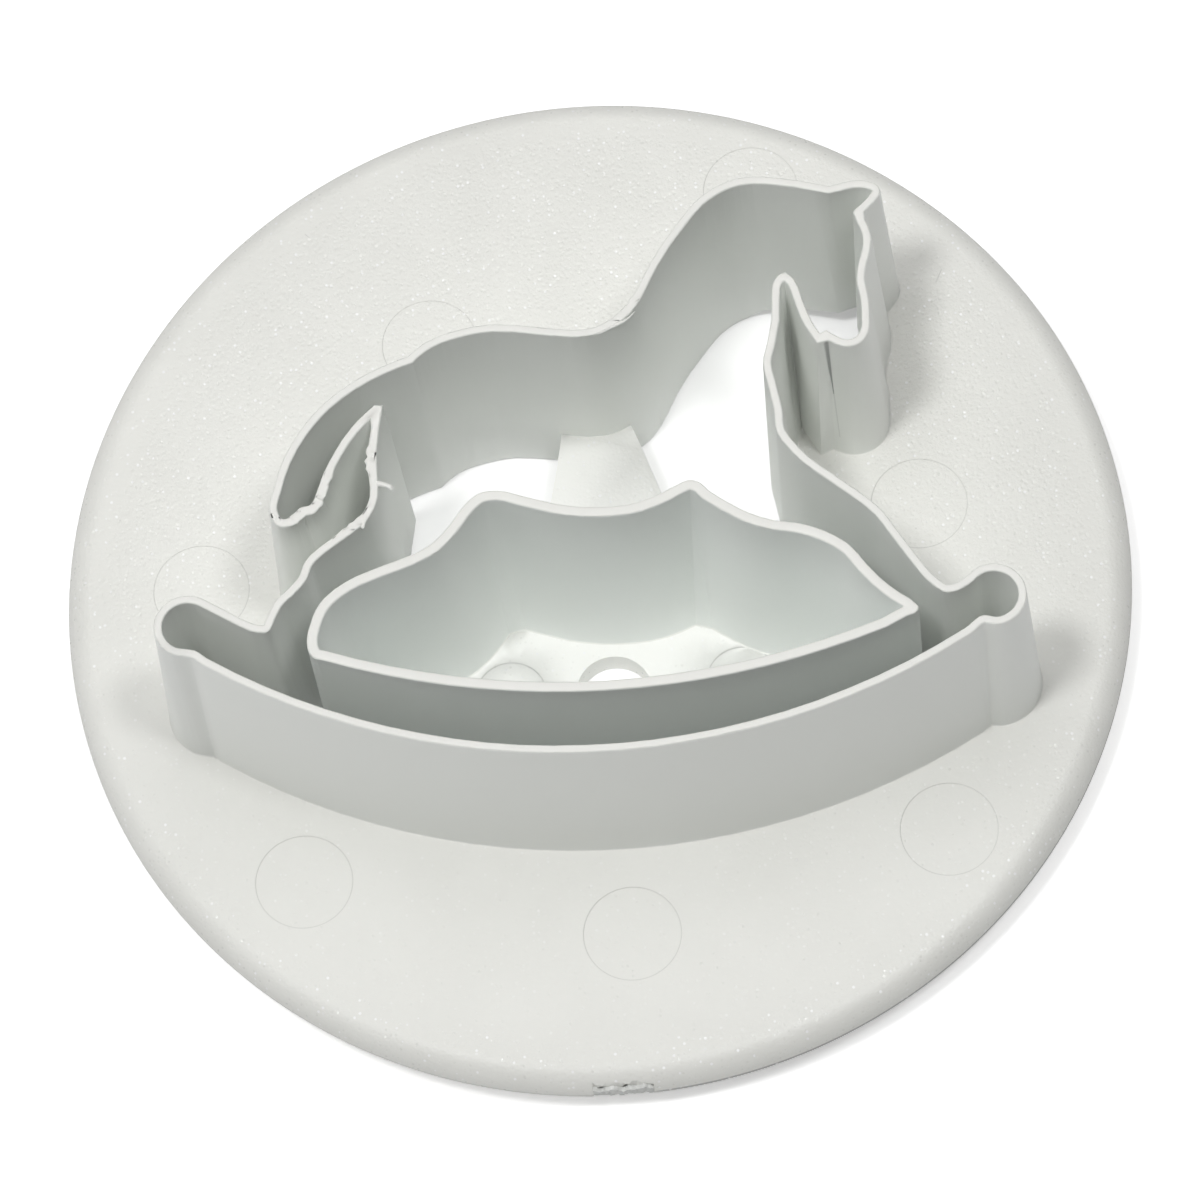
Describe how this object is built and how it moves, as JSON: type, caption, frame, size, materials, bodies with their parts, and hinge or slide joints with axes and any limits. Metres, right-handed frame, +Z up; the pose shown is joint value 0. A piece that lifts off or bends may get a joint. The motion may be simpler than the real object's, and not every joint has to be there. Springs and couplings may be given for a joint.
{
  "type": "plunger cutter",
  "caption": "One-piece white plastic cutter for a rocking horse, a thin tapered blade and an inner island blade on a round plate with a rounded rim.",
  "frame": {"origin": "centre of the disc's underside, on the plane where the skirt rests", "axes": "+Z up towards the cutting edges, +X the way the horse faces with its rocker level, +Y from the rocker towards the horse's back"},
  "size_m": [0.09, 0.09, 0.0258],
  "materials": {
    "frosted_white": "finely spark-textured moulded plastic with a soft sheen",
    "satin_white": "smooth satin moulded plastic with faint vertical draw marks",
    "torn_white": "rough torn plastic where the gate was cut off"
  },
  "bodies": {
    "root": {"plate": "frosted_white", "rim": "frosted_white", "gate_stub": "torn_white", "rear_tip_wall": "satin_white", "rocker_wall": "satin_white", "front_tip_wall": "satin_white", "foreleg_wall": "satin_white", "chest_wall": "satin_white", "jaw_wall": "satin_white", "muzzle_wall": "satin_white", "face_wall": "satin_white", "ear_wall": "satin_white", "poll_wall": "satin_white", "neck_wall": "satin_white", "back_wall": "satin_white", "rump_wall": "satin_white", "tail_tip_wall": "satin_white", "tail_inner_wall": "satin_white", "haunch_wall": "satin_white", "hind_leg_wall": "satin_white", "rear_runner_wall": "satin_white", "island_front_wall": "satin_white", "island_fore_wall": "satin_white", "island_belly_wall": "satin_white", "island_rear_wall": "satin_white", "island_floor": "frosted_white", "belly_bridge": "frosted_white"}
  },
  "joints": []
}
